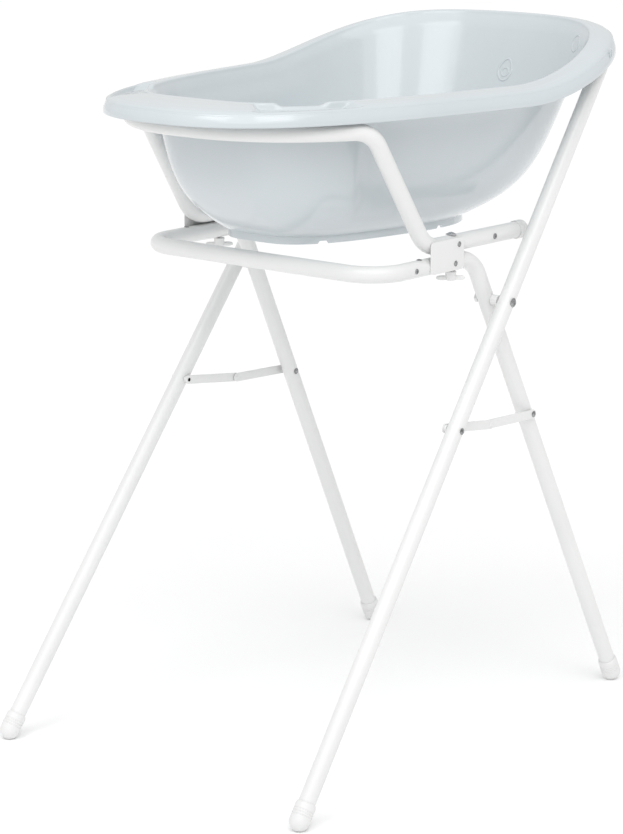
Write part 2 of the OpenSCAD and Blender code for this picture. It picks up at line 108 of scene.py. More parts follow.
def smooth(u):
    """A step from 0 to 1 as u goes from 0 to 1, level at both ends."""
    u = max(0.0, min(1.0, u))
    return u * u * (3 - 2 * u)


def bump(u):
    """A smooth hump of height 1 between -1 and 1."""
    return max(0.0, 1 - u * u) ** 2


# ---- meshes --------------------------------------------------------------------------
def signed_volume(data):
    """Six times the volume inside a closed mesh, negative if its faces point inward."""
    total = 0.0
    for face in data.polygons:
        v = [data.vertices[i].co for i in face.vertices]
        for a, b in zip(v[1:], v[2:]):
            total += v[0].dot(a.cross(b))
    return total


def mesh(name, points, faces, body, material, slot, flat_over=None):
    """An object from points in millimetres, measured from the pivots, that rides on a body."""
    data = bpy.data.meshes.new(name)
    data.from_pydata([((x + SHIFT) * MM, y * MM, z * MM) for x, y, z in points], [], faces)
    data.validate()
    if signed_volume(data) < 0:
        data.flip_normals()
    data.update()
    data.polygons.foreach_set("use_smooth", [True] * len(data.polygons))
    if flat_over is not None:
        data.set_sharp_from_angle(angle=math.radians(flat_over))
    obj = bpy.data.objects.new(name, data)
    bpy.context.scene.collection.objects.link(obj)
    data.materials.append(material)
    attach(obj, body)
    return obj


def grid_faces(n_rings, n_section, close_section):
    """Quads between sections set in a closed ring, each with the same number of points."""
    faces = []
    last = n_section if close_section else n_section - 1
    for k in range(n_rings):
        m = (k + 1) % n_rings
        for j in range(last):
            i = (j + 1) % n_section
            faces.append((k * n_section + j, k * n_section + i,
                          m * n_section + i, m * n_section + j))
    return faces


def lathe(profile, sides=48):
    """A profile of (radius, height) turned round Z, with its two ends on the axis."""
    rings = profile[1:-1]
    points = []
    for k in range(sides):
        a = 2 * math.pi * k / sides
        points += [(r * math.cos(a), r * math.sin(a), h) for r, h in rings]
    faces = grid_faces(sides, len(rings), False)
    n, m = len(points), len(rings)
    points += [(0, 0, profile[0][1]), (0, 0, profile[-1][1])]
    for k in range(sides):
        j = (k + 1) % sides
        faces.append((n, k * m, j * m))
        faces.append((n + 1, j * m + m - 1, k * m + m - 1))
    return points, faces


def arc(centre, radius, start, end, steps=8):
    """Points of an arc, its angles in degrees."""
    out = []
    for i in range(steps + 1):
        a = math.radians(start + (end - start) * i / steps)
        out.append((centre[0] + radius * math.cos(a), centre[1] + radius * math.sin(a)))
    return out


def plate(outline, thick, edge):
    """A flat plate with rolled edges between heights 0 and thick. Its outline runs
    anticlockwise."""
    n = len(outline)
    layers = [(edge * (1 - math.sin(a)), edge * (1 - math.cos(a)))
              for a in (0.0, math.pi / 6, math.pi / 3, math.pi / 2)]
    layers += [(inset, thick - z) for inset, z in reversed(layers)]
    points = []
    for inset, z in layers:
        for i in range(n):
            (x0, y0), (x1, y1) = outline[i - 1], outline[(i + 1) % n]
            d = math.hypot(x1 - x0, y1 - y0)
            x, y = outline[i]
            points.append((x - (y1 - y0) / d * inset, y + (x1 - x0) / d * inset, z))
    faces = [tuple(reversed(range(n))), tuple(range(n * (len(layers) - 1), n * len(layers)))]
    for k in range(len(layers) - 1):
        for i in range(n):
            j = (i + 1) % n
            faces.append((k * n + i, k * n + j, (k + 1) * n + j, (k + 1) * n + i))
    return points, faces


def merged(parts):
    """Several (points, faces) as one."""
    points, faces = [], []
    for more, more_faces in parts:
        base = len(points)
        points += more
        faces += [tuple(base + i for i in f) for f in more_faces]
    return points, faces


def moved(part, to_world, mirror=False):
    """A part with to_world done to its points. Where that is a mirror, its faces turn over."""
    points, faces = part
    return [to_world(p) for p in points], [f[::-1] for f in faces] if mirror else faces


def frame_at(origin, z_axis, x_hint=(0, 1, 0)):
    """A function that takes a local point to the world, with local Z along z_axis."""
    z = Vector(z_axis).normalized()
    x = Vector(x_hint) - z * Vector(x_hint).dot(z)
    x.normalize()
    y = z.cross(x)
    o = Vector(origin)
    return lambda p: tuple(o + x * p[0] + y * p[1] + z * p[2])


# ---- materials -----------------------------------------------------------------------
def new_material(name):
    """A material with one shader: itself, its node tree, the shader and object space."""
    material = bpy.data.materials.new(name)
    material.use_nodes = True
    tree = material.node_tree
    tree.nodes.clear()
    out = tree.nodes.new("ShaderNodeOutputMaterial")
    shader = tree.nodes.new("ShaderNodeBsdfPrincipled")
    tree.links.new(shader.outputs[0], out.inputs[0])
    place = tree.nodes.new("ShaderNodeTexCoord")
    return material, tree, shader, place.outputs["Object"]


def noise(tree, place, scale, detail=2.0, rough=0.5):
    """Cloudy noise from 0 to 1."""
    node = tree.nodes.new("ShaderNodeTexNoise")
    node.inputs["Scale"].default_value = scale
    node.inputs["Detail"].default_value = detail
    node.inputs["Roughness"].default_value = rough
    tree.links.new(place, node.inputs["Vector"])
    return node.outputs["Fac"]


def ramp(tree, fac, stops):
    """A colour between two stops of (position, colour)."""
    node = tree.nodes.new("ShaderNodeValToRGB")
    node.color_ramp.elements[0].position = stops[0][0]
    node.color_ramp.elements[0].color = stops[0][1]
    node.color_ramp.elements[1].position = stops[1][0]
    node.color_ramp.elements[1].color = stops[1][1]
    tree.links.new(fac, node.inputs["Fac"])
    return node.outputs["Color"]


def spread(tree, fac, low, high):
    """Noise stretched to the range from low to high."""
    node = tree.nodes.new("ShaderNodeMapRange")
    node.inputs["From Min"].default_value = 0.3
    node.inputs["From Max"].default_value = 0.7
    node.inputs["To Min"].default_value = low
    node.inputs["To Max"].default_value = high
    tree.links.new(fac, node.inputs["Value"])
    return node.outputs["Result"]


def relief(tree, fac, strength, distance, below=None):
    """A bump from noise, over another bump if one is given."""
    node = tree.nodes.new("ShaderNodeBump")
    node.inputs["Strength"].default_value = strength
    node.inputs["Distance"].default_value = distance
    tree.links.new(fac, node.inputs["Height"])
    if below is not None:
        tree.links.new(below, node.inputs["Normal"])
    return node.outputs["Normal"]


def plastic(name, dark, light, rough, coat, peel):
    """Moulded plastic: faint flow marks in the colour, uneven gloss and a wavy skin."""
    material, tree, shader, place = new_material(name)
    tint = ramp(tree, noise(tree, place, 5.0, 3.0, 0.55), ((0.3, dark), (0.7, light)))
    tree.links.new(tint, shader.inputs["Base Color"])
    gloss = spread(tree, noise(tree, place, 22.0, 4.0, 0.6), rough[0], rough[1])
    tree.links.new(gloss, shader.inputs["Roughness"])
    wave = relief(tree, noise(tree, place, 14.0, 2.0), peel, 0.004)
    skin = relief(tree, noise(tree, place, 260.0, 1.0), 0.03, 0.0003, wave)
    tree.links.new(skin, shader.inputs["Normal"])
    shader.inputs["IOR"].default_value = 1.5
    shader.inputs["Coat Weight"].default_value = coat
    shader.inputs["Coat Roughness"].default_value = 0.07
    return material


def powder_coat(name):
    """White powder coat with orange peel and faint dull patches."""
    material, tree, shader, place = new_material(name)
    tint = ramp(tree, noise(tree, place, 6.0, 1.0),
                ((0.3, (0.73, 0.735, 0.73, 1)), (0.7, (0.765, 0.767, 0.763, 1))))
    tree.links.new(tint, shader.inputs["Base Color"])
    gloss = spread(tree, noise(tree, place, 30.0, 2.0), 0.28, 0.36)
    tree.links.new(gloss, shader.inputs["Roughness"])
    peel = relief(tree, noise(tree, place, 110.0, 1.0), 0.05, 0.0004)
    tree.links.new(peel, shader.inputs["Normal"])
    shader.inputs["IOR"].default_value = 1.5
    shader.inputs["Coat Weight"].default_value = 0.15
    shader.inputs["Coat Roughness"].default_value = 0.2
    return material


def plated_metal(name, dark, light, rough):
    """Zinc plate: bright metal with a fine crystal mottle, darker in the noise's low parts."""
    material, tree, shader, place = new_material(name)
    tint = ramp(tree, noise(tree, place, 260.0, 4.0, 0.65), ((0.32, dark), (0.62, light)))
    tree.links.new(tint, shader.inputs["Base Color"])
    gloss = spread(tree, noise(tree, place, 500.0, 3.0), rough[0], rough[1])
    tree.links.new(gloss, shader.inputs["Roughness"])
    turned = relief(tree, noise(tree, place, 1600.0, 2.0), 0.15, 0.0002)
    tree.links.new(turned, shader.inputs["Normal"])
    shader.inputs["Metallic"].default_value = 1.0
    return material


def rubber(name):
    """Matt grey rubber with a fine grain."""
    material, tree, shader, place = new_material(name)
    tint = ramp(tree, noise(tree, place, 120.0, 3.0),
                ((0.3, (0.30, 0.34, 0.36, 1)), (0.7, (0.38, 0.42, 0.44, 1))))
    tree.links.new(tint, shader.inputs["Base Color"])
    gloss = spread(tree, noise(tree, place, 300.0, 3.0), 0.5, 0.7)
    tree.links.new(gloss, shader.inputs["Roughness"])
    grain = relief(tree, noise(tree, place, 1500.0, 2.0), 0.2, 0.0003)
    tree.links.new(grain, shader.inputs["Normal"])
    return material


BATH = plastic("bath_gloss_plastic", (0.545, 0.59, 0.612, 1), (0.57, 0.615, 0.635, 1),
               (0.13, 0.19), 0.4, 0.02)
COAT = powder_coat("white_powder_coat")
WHITE = plastic("white_moulded_plastic", (0.72, 0.725, 0.72, 1), (0.76, 0.762, 0.758, 1),
                (0.32, 0.46), 0.05, 0.02)
ZINC = plated_metal("zinc_plate", (0.16, 0.16, 0.165, 1), (0.40, 0.405, 0.41, 1), (0.2, 0.38))
BRIGHT_ZINC = plated_metal("bright_zinc_plate", (0.42, 0.42, 0.43, 1), (0.68, 0.69, 0.70, 1),
                           (0.2, 0.34))
RUBBER = rubber("grey_rubber")
FINISH = {
    "white_paint": COAT, "white_plastic": WHITE, "bath_plastic": BATH,
    "zinc_steel": ZINC, "plug_rubber": RUBBER,
}


# ---- the bath ------------------------------------------------------------------------
def along(c):
    """From the cosine of an angle: the share of the half length, and the oval's power there."""
    power = HEAD_POWER if c > 0 else FOOT_POWER
    return math.copysign(abs(c) ** (2 / power), c), power


def rim_xy(t):
    """The rim's edge at angle t: an oval, blunter at the foot end and wider at the head."""
    c, s = math.cos(math.radians(t)), math.sin(math.radians(t))
    u, power = along(c)
    y = RIM_HALF * math.copysign(abs(s) ** (2 / power), s) * (1 + EGG[0] * u + EGG[1] * u * u)
    return BATH_X + BATH_L / 2 * u, y


def rim_top(x):
    """Height of the rim, which rises towards the head end."""
    return RIM_Z + RIM_RISE * smooth((x - RISE_FROM) / (RISE_TO - RISE_FROM))


def folded(t):
    """The angle from the head end, 0 to 180 on either side."""
    return abs((t + 180) % 360 - 180)


class Station:
    """The rim at angle t: its edge, the way out from it and the width of its flange."""

    def __init__(self, t):
        self.edge = rim_xy(t)
        (x0, y0), (x1, y1) = rim_xy(t - 0.5), rim_xy(t + 0.5)
        d = math.hypot(x1 - x0, y1 - y0)
        self.out = ((y1 - y0) / d, (x0 - x1) / d)
        self.width = FLANGE_W + SHELF_W * ((1 - math.cos(math.radians(t))) / 2) ** 6
        side = folded(t) - TRAY_AT
        self.tray = smooth((TRAY_SPAN - abs(side)) / TRAY_RAMP)
        self.cad_tray = TRAY_DEPTH * smooth((TRAY_SPAN - abs(side)) / CAD_TRAY_RAMP)
        self.crease = (CREASE_D * smooth((CREASE_TO - folded(t)) / 5)
                       * smooth((folded(t) - CREASE_FROM) / 55))
        self.notch = smooth((LIP_NOTCH_HALF - abs(side + LIP_NOTCH_OFF)) / 3)
        self.ridge = max(bump((abs(side) - at) / RIDGE_HALF) for at in RIDGE_AT)

    def rim(self, inset, dz):
        """The point at an inset from the rim's edge and a height over the rim."""
        x = self.edge[0] - self.out[0] * inset
        y = self.edge[1] - self.out[1] * inset
        return x, y, rim_top(self.edge[0]) + dz

    def wall(self, v, t_in):
        """The wall from the rim (v = 0) to the bottom (v = 1), t_in inside its outer face.
        It drops steeply at the foot end and slopes down at the head end."""
        top = self.rim(self.width, -WALL_DROP)
        low = BATH_X - BATH_L / 2 + FLANGE_W + SHELF_W + 1
        high = BATH_X + BATH_L / 2 - FLANGE_W
        ux = (top[0] - (low + high) / 2) / ((high - low) / 2)
        near = FOOT_SHARE * (1 - (1 - v) ** FOOT_BOW) + (1 - FOOT_SHARE) * v ** FOOT_SINK
        far = HEAD_SHARE * v + (1 - HEAD_SHARE) * v ** WALL_SINK
        beside = SIDE_SHARE * v + (1 - SIDE_SHARE) * v ** WALL_SINK
        x0 = low + (BASE_LOW - low) * near + t_in
        x1 = high + (BASE_HIGH - high) * far - t_in
        half = WALL_HALF + (BASE_HALF - WALL_HALF) * beside - t_in
        half -= self.crease * smooth((v - 0.03) / 0.2) * smooth((1 - v) / 0.3)
        z = top[2] + (FLOOR_Z - top[2]) * v + t_in * smooth((v - 0.8) / 0.2)
        return (x0 + x1) / 2 + ux * (x1 - x0) / 2, top[1] * half / WALL_HALF, z

    def roll(self, r):
        """How far the rim's face falls away towards its outer edge."""
        return -RIM_ROLL * max(0.0, 1 - r / (0.8 * self.width)) ** 2

    def top_dz(self, r):
        """Height of the rim's upper face at inset r: crown, tray, its ridges and the dip."""
        w = self.width
        inside = smooth((r - 10) / 5) * smooth((w - 9 - r) / 4.5)
        dz = -0.8 + 0.8 * smooth((r - 11) / 8) + 0.9 * bump((r - (w - 7)) / 5)
        dz -= (TRAY_DEPTH + 0.8) * self.tray * inside
        dz += RIDGE_H * self.ridge * self.tray * smooth((r - 17) / 3) * smooth((w - 16 - r) / 3)
        return dz + self.roll(r) - LIP_NOTCH_D * self.notch * smooth((r - (w - 13)) / 4)

    def floor(self, f, z):
        """A point between the bottom's edge (f = 0) and the drain hole (f = 1)."""
        x, y, _ = self.wall(1, 0 if z == FLOOR_Z else SHELL_T)
        a = math.atan2(y, x - DRAIN_X)
        hole = (DRAIN_X + DRAIN_R * math.cos(a), DRAIN_R * math.sin(a))
        return x + (hole[0] - x) * f, y + (hole[1] - y) * f, z


# The skirt's outer face from its lower edge to the rim's upper face, as (inset, height).
SKIRT = (
    (0.15, -26.6), (0.0, -25.6), (0.05, -22.5), (0.3, -18.5), (0.8, -15), (1.5, -12), (2.4, -9),
    (3.6, -6.6), (5.1, -4.5), (6.9, -2.8), (8.9, -1.6),
)
# The skirt's inner face from the rim down and round its lower edge.
SKIRT_INSIDE = (
    (4.4, -11), (3.6, -14), (3.1, -17), (3.0, -22), (2.9, -26.3), (2.4, -26.95), (0.7, -26.95),
)
# The lip at the flange's inner edge, as (distance from the edge, height).
LIP = ((2.7, 0.2), (1.6, -1.0), (0.8, -2.6), (0.3, -4.6))
WALL_STEPS, UNDER_STEPS, FACE_STEPS = 44, 13, 39
WALL_SHARES = [math.sin(math.pi / 2 * i / WALL_STEPS) ** 0.8 for i in range(WALL_STEPS + 1)]


def bath_section(t):
    """The shell's closed section at angle t: outer wall, rim's underside, skirt, rim's upper
    face, inner wall, bottom and the drain's edge."""
    s = Station(t)
    w = s.width
    points = [s.wall(v, 0) for v in reversed(WALL_SHARES)]
    for i in range(UNDER_STEPS + 1):
        r = w - 3 - (w - 8) * i / UNDER_STEPS
        sink = s.cad_tray * smooth((r - 8) / 8) * smooth((w - 2 - r) / 6)
        dip = LIP_NOTCH_D * s.notch * smooth((r - (w - 10)) / 7)
        dz = s.roll(r) - SHELL_T - 1.2 * smooth((r - w + 9) / 6) - sink - dip
        points.append(s.rim(r, dz))
    points += [s.rim(r, dz) for r, dz in SKIRT_INSIDE]
    points += [s.rim(r, dz + s.roll(r) * smooth((dz + 27) / 20)) for r, dz in SKIRT]
    for i in range(FACE_STEPS + 1):
        r = 11 + (w - 15) * i / FACE_STEPS
        points.append(s.rim(r, s.top_dz(r)))
    drop = -LIP_NOTCH_D * s.notch
    points += [s.rim(w - r, dz + drop * min(1.0, 1 + dz / 9)) for r, dz in LIP]
    points += [s.wall(v, SHELL_T) for v in WALL_SHARES]
    points += [s.floor(f, FLOOR_Z + SHELL_T) for f in (0.08, 0.2, 0.4, 0.6, 0.8, 0.93, 0.99)]
    hole = s.floor(1, FLOOR_Z)
    points += [(hole[0], hole[1], FLOOR_Z + SHELL_T - 0.6), (hole[0], hole[1], FLOOR_Z + 0.3)]
    points += [s.floor(f, FLOOR_Z) for f in (0.99, 0.9, 0.7, 0.5, 0.3, 0.1)]
    return points


def stations(count=420, step=0.25):
    """Angles round the bath, spaced so that the rim's points are about equally far apart."""
    fine = [k * step for k in range(1441)]
    travel = [0.0]
    for a, b in zip(fine, fine[1:]):
        p, q = rim_xy(a), rim_xy(b)
        travel.append(travel[-1] + math.hypot(q[0] - p[0], q[1] - p[1]) + 0.35)
    angles, i = [], 0
    for k in range(count):
        want = travel[-1] * k / count
        while travel[i + 1] < want:
            i += 1
        share = (want - travel[i]) / (travel[i + 1] - travel[i])
        angles.append(fine[i] + step * share)
    return angles


ANGLES = stations()


def make_bath():
    """The shell: rim, walls and bottom in one closed skin."""
    sections = [bath_section(t) for t in ANGLES]
    points = [p for section in sections for p in section]
    faces = grid_faces(len(ANGLES), len(sections[0]), True)
    bath = mesh("bath_shell", points, faces, "bath", BATH, "bath_plastic")
    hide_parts("bath_tub")


def make_base_ring():
    """The notched ring under the bottom."""
    points = []
    for t in ANGLES:
        s = Station(t)
        outer, inner = s.wall(1, 3), s.wall(1, 3 + RING_T)
        cut = any(abs(outer[0] - x) < NOTCH_W / 2 for x in NOTCH_X)
        cut = cut and abs(outer[1]) > NOTCH_FROM_Y
        low = RING_Z + (NOTCH_H if cut else 0.0)
        top = FLOOR_Z + 1.5
        points += [
            (outer[0], outer[1], top), (outer[0], outer[1], low + 0.6),
            (outer[0] * 0.998 + inner[0] * 0.002, outer[1] - (outer[1] - inner[1]) * 0.15, low),
            (inner[0], inner[1] + (outer[1] - inner[1]) * 0.15, low),
            (inner[0], inner[1], low + 0.6), (inner[0], inner[1], top),
        ]
    faces = grid_faces(len(ANGLES), 6, True)
    mesh("bath_base_ring", points, faces, "bath", BATH, "bath_plastic", 40)


def make_ribs():
    """The four ribs under the rim, just clear of the two loops."""
    pairs = (
        (LOOP_END[0] - 22, LOOP_END[0] + 22, LOOP_Z + TUBE_R + RIB_GAP, RIM_Z - 2),
        (HEAD_X - 10, HEAD_X + 10, HEAD_Z + TUBE_R + RIB_GAP, rim_top(HEAD_X) - 2),
    )
    points, faces = [], []
    for x0, x1, z0, z1 in pairs:
        for side in (-1, 1):
            y = side * RIB_Y
            base = len(points)
            outline = [(x0, z1), (x0, z0 + 2.5), (x0 + 0.8, z0 + 0.8), (x0 + 2.5, z0),
                       (x1 - 2.5, z0), (x1 - 0.8, z0 + 0.8), (x1, z0 + 2.5), (x1, z1)]
            n = len(outline)
            points += [(x, y - RIB_T / 2, z) for x, z in outline]
            points += [(x, y + RIB_T / 2, z) for x, z in outline]
            faces.append(tuple(base + i for i in range(n)))
            faces.append(tuple(base + n + i for i in reversed(range(n))))
            for i in range(n):
                j = (i + 1) % n
                faces.append((base + j, base + i, base + n + i, base + n + j))
    mesh("bath_support_ribs", points, faces, "bath", BATH, "bath_plastic", 30)


def mark(at, centre, outline, radius):
    """A low bead along a closed outline in millimetres, laid on the surface at(u, v). The
    outline's middle is at centre, and du and dv are the steps that measure the surface."""
    u0, v0 = centre
    du, dv = 0.2, 0.01
    scale_u = (at(u0 + du, v0) - at(u0 - du, v0)).length / (2 * du)
    scale_v = (at(u0, v0 + dv) - at(u0, v0 - dv)).length / (2 * dv)
    line = []
    for a, b in outline:
        u, v = u0 + a / scale_u, v0 + b / scale_v
        normal = (at(u + du, v) - at(u - du, v)).cross(at(u, v + dv) - at(u, v - dv))
        line.append((at(u, v), normal.normalized()))
    sides = 12
    points = []
    for i, (p, normal) in enumerate(line):
        ahead = (line[(i + 1) % len(line)][0] - line[i - 1][0]).normalized()
        across = ahead.cross(normal)
        for k in range(sides):
            a = 2 * math.pi * k / sides
            points.append(tuple(p + normal * (0.7 * radius * math.sin(a))
                                + across * (1.5 * radius * math.cos(a))))
    return points, grid_faces(len(line), sides, True)


def make_marks():
    """Moulded marks: a drop with a ring in it on the head wall, an oval beside it, and a
    crescent on the front of the skirt."""
    def wall(t, v):
        return Vector(Station(t).wall(v, SHELL_T))

    def skirt(t, dz):
        return Vector(Station(t).rim(0.9, dz))

    turns = [2 * math.pi * i / 64 for i in range(64)]
    drop = [(12.5 * math.sin(a), 16 * math.cos(a) + 4 * min(0.0, math.cos(a)) ** 3)
            for a in turns]
    ring = [(6.5 * math.sin(a), 2 + 7 * math.cos(a)) for a in turns]
    oval = [(15 * math.sin(a), 13 * math.cos(a)) for a in turns]
    crescent = [((7 if math.cos(a) > 0 else 2.5) * math.cos(a), 9 * math.sin(a)) for a in turns]
    drop_at, oval_at, crescent_at = (-1.7, 0.3), (-31.0, 0.08), (-52.0, -13.5)
    marks = merged([
        mark(wall, drop_at, drop, 1.3), mark(wall, drop_at, ring, 1.1),
        mark(wall, oval_at, oval, 1.0), mark(skirt, crescent_at, crescent, 0.9),
    ])
    mesh("bath_moulded_marks", *marks, "bath", BATH, "bath_plastic")


# ---- tubes ---------------------------------------------------------------------------
def bent_path(corners, bends, step=5.0):
    """Points along a path with round bends, every few degrees of each bend."""
    pts = [Vector(p) for p in corners]
    out = [pts[0]]
    for i in range(1, len(pts) - 1):
        d1, d2 = (pts[i] - pts[i - 1]).normalized(), (pts[i + 1] - pts[i]).normalized()
        angle = math.acos(max(-1.0, min(1.0, d1.dot(d2))))
        reach = bends[i] * math.tan(angle / 2)
        n1 = (d2 - d1 * d1.dot(d2)).normalized()
        centre = pts[i] - d1 * reach + n1 * bends[i]
        steps = max(4, int(math.degrees(angle) / step))
        for k in range(steps + 1):
            a = angle * k / steps
            out.append(centre - n1 * bends[i] * math.cos(a) + d1 * bends[i] * math.sin(a))
    out.append(pts[-1])
    return out


def tube(name, corners, bends, body, node):
    """A hollow tube along a bent path: one closed skin, outside and in."""
    path = bent_path(corners, bends)
    sides = 40
    normal = None
    rings = []
    for i, p in enumerate(path):
        a = path[max(0, i - 1)]
        b = path[min(len(path) - 1, i + 1)]
        tangent = (b - a).normalized()
        if normal is None:
            normal = tangent.orthogonal().normalized()
        normal = (normal - tangent * normal.dot(tangent)).normalized()
        rings.append((p, normal.copy(), tangent.cross(normal)))
    points, faces = [], []
    order = [(ring, TUBE_R) for ring in rings]
    order += [(ring, TUBE_R - TUBE_WALL) for ring in reversed(rings)]
    for (p, n, s), r in order:
        for k in range(sides):
            a = 2 * math.pi * k / sides
            points.append(tuple(p + n * (r * math.cos(a)) + s * (r * math.sin(a))))
    total = len(order)
    for j in range(total):
        m = (j + 1) % total
        for k in range(sides):
            i = (k + 1) % sides
            faces.append((j * sides + k, m * sides + k, m * sides + i, j * sides + i))
    obj = mesh(name, points, faces, body, COAT, "white_paint", 50)
    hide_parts(node)


def outer_at(side, z):
    """The middle of an outer leg at height z."""
    return (z - PIVOT_Z) * OUTER_LEAN, side * (OUTER_HALF + (PIVOT_Z - z) * OUTER_SPLAY), z


def inner_at(side, z):
    """The middle of an inner leg at height z."""
    return (PIVOT_Z - z) * INNER_LEAN, side * (INNER_HALF + (LOWER_Z - z) * INNER_SPLAY), z


def make_tubes():
    """The two leg frames and the holder loop, each with a bend radius at every corner."""
    tube("outer_leg_tube", [
        outer_at(-1, TUBE_END_Z), outer_at(-1, TOP_Z), (HEAD_X, -HEAD_Y, HEAD_Z),
        (HEAD_X, HEAD_Y, HEAD_Z), outer_at(1, TOP_Z), outer_at(1, TUBE_END_Z),
    ], (0, HEAD_KNEE_BEND, HEAD_BEND, HEAD_BEND, HEAD_KNEE_BEND, 0),
        "outer_frame", "outer_leg_frame")
    knee = (PIVOT_Z - LOWER_Z) * INNER_LEAN
    tube("inner_leg_tube", [
        inner_at(-1, TUBE_END_Z), (knee, -INNER_HALF, LOWER_Z),
        (LOWER_END_X, -INNER_HALF, LOWER_Z), (LOWER_END_X, INNER_HALF, LOWER_Z),
        (knee, INNER_HALF, LOWER_Z), inner_at(1, TUBE_END_Z),
    ], (0, LOWER_KNEE_BEND, LOWER_BEND, LOWER_BEND, LOWER_KNEE_BEND, 0),
        "inner_frame", "inner_leg_frame")
    corners = [(CAP_X, -INNER_HALF, RAIL_Z), (RAIL_BEND_X, -INNER_HALF, RAIL_Z),
               (LOOP_CORNER[0], -LOOP_CORNER[1], LOOP_Z), (LOOP_END[0], -LOOP_END[1], LOOP_Z)]
    corners += [(x, -y, z) for x, y, z in reversed(corners)]
    bends = (0, RAIL_BEND, UPRIGHT_BEND, LOOP_BEND)
    tube("holder_loop_tube", corners, bends + bends[::-1], "inner_frame", "holder_loop")


# ---- fittings ------------------------------------------------------------------------
def make_feet():
    """Plastic feet with three grooves, cut off flat on the floor."""
    profile = [(0, -FOOT_R)] + [(-x, y) for x, y in arc((0, 0), FOOT_R, -96, -180, 12)]
    for h in FOOT_GROOVES:
        profile += [(FOOT_R, h - 1.0), (FOOT_R - 0.7, h - 0.3), (FOOT_R - 0.7, h + 0.3),
                    (FOOT_R, h + 1.0)]
    profile += [(FOOT_R, 21.5), (15.0, 23.0), (14.3, 25.4), (13.6, 26.5), (12.9, 26.8),
                (SOCKET_R, 26.3), (SOCKET_R, -2.2), (0, -2.2)]
    for name, at in (("outer", outer_at), ("inner", inner_at)):
        parts = []
        for side in (-1, 1):
            end, higher = Vector(at(side, TUBE_END_Z)), Vector(at(side, 300))
            up = (higher - end).normalized()
            to_world = frame_at(end + up * ((FOOT_TIP - end.z) / up.z), up)
            points, faces = moved(lathe(profile), to_world)
            parts.append(([(x, y, max(z, 0.0)) for x, y, z in points], faces))
        foot = mesh(name + "_moulded_feet", *merged(parts), name + "_frame", WHITE,
                    "white_plastic", 40)
        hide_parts(name + "_leg_feet")


def make_caps():
    """Plastic caps on the rails' ends."""
    profile = [(0, -5.0)] + arc((9.0, 0.0), 5.0, -90, 0, 8)
    profile += [(14.0, 6.0), (13.6, 6.5), (13.6, 7.3), (14.0, 7.8), (14.0, 13.8), (13.6, 14.7),
                (12.9, 15.0), (SOCKET_R, 14.6), (SOCKET_R, 4.1), (0, 4.1)]
    parts = [moved(lathe(profile), frame_at((CAP_X + 4, side * INNER_HALF, RAIL_Z), (-1, 0, 0)))
             for side in (-1, 1)]
    caps = mesh("moulded_end_caps", *merged(parts), "inner_frame", WHITE, "white_plastic", 40)
    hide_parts("rail_end_caps")


def wing(turn):
    """One flat wing of a knob, thickest at its root and rounded at its tip."""
    points, count, steps = [], 20, 14
    for i in range(steps + 1):
        share = math.sin(math.pi / 2 * i / steps)
        x = 4.0 + 17.6 * share
        tip = max(0.02, (1 - share ** 5)) ** 0.5
        for k in range(count):
            a = 2 * math.pi * k / count
            c, q = math.cos(a), math.sin(a)
            y = (3.0 - 0.7 * share) * tip * math.copysign(abs(c) ** 0.6, c)
            z = 3.9 + (3.3 + 0.5 * share) * tip * math.copysign(abs(q) ** 0.6, q)
            points.append((x * math.cos(turn) - y * math.sin(turn),
                           x * math.sin(turn) + y * math.cos(turn), z))
    faces = [tuple(reversed(range(count))), tuple(range(steps * count, (steps + 1) * count))]
    for i in range(steps):
        for k in range(count):
            m = (k + 1) % count
            faces.append((i * count + k, i * count + m,
                          (i + 1) * count + m, (i + 1) * count + k))
    return points, faces


def make_knobs():
    """Wing nuts under the clamp bolts: a hollow hub with two wings."""
    profile = [(0, 0.1), (5.6, 0.1), (6.8, 0.5), (7.6, 1.6), (7.9, 3.0), (7.9, 10.8),
               (8.4, 11.6), (8.4, 13.2), (7.9, 13.9), (3.2, 13.9), (3.1, 2.2), (0, 2.2)]
    knob = merged([lathe(profile, 96), wing(math.radians(-45)), wing(math.radians(135))])
    for side, name in SIDES:
        base = (CLAMP_X, side * INNER_HALF, LOWER_Z - TUBE_R - KNOB_DROP)
        part = moved(knob, frame_at(base, (0, 0, 1), (1, 0, 0)))
        obj = mesh("wing_nut_" + name, *part, "knob_" + name, WHITE, "white_plastic", 50)
        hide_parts("wing_knob_" + name)


def make_brackets():
    """The two plates that join rails and lower tubes, with round corners."""
    (x0, x1), (z0, z1) = PLATE_X, PLATE_Z
    c = 7.0
    outline = arc((x1 - c, z0 + c), c, -90, 0) + arc((x1 - c, z1 - c), c, 0, 90)
    outline += arc((x0 + c, z1 - c), c, 90, 180) + arc((x0 + c, z0 + c), c, 180, 270)
    flat = plate(outline, PLATE_T, 0.6)
    for side, name in SIDES:
        part = moved(flat, lambda p, side=side: (p[0], side * (PLATE_Y + p[2]), p[1]), side > 0)
        obj = mesh("joint_plate_" + name, *part, "inner_frame", COAT, "white_paint", 40)
        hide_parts("bracket_" + name)


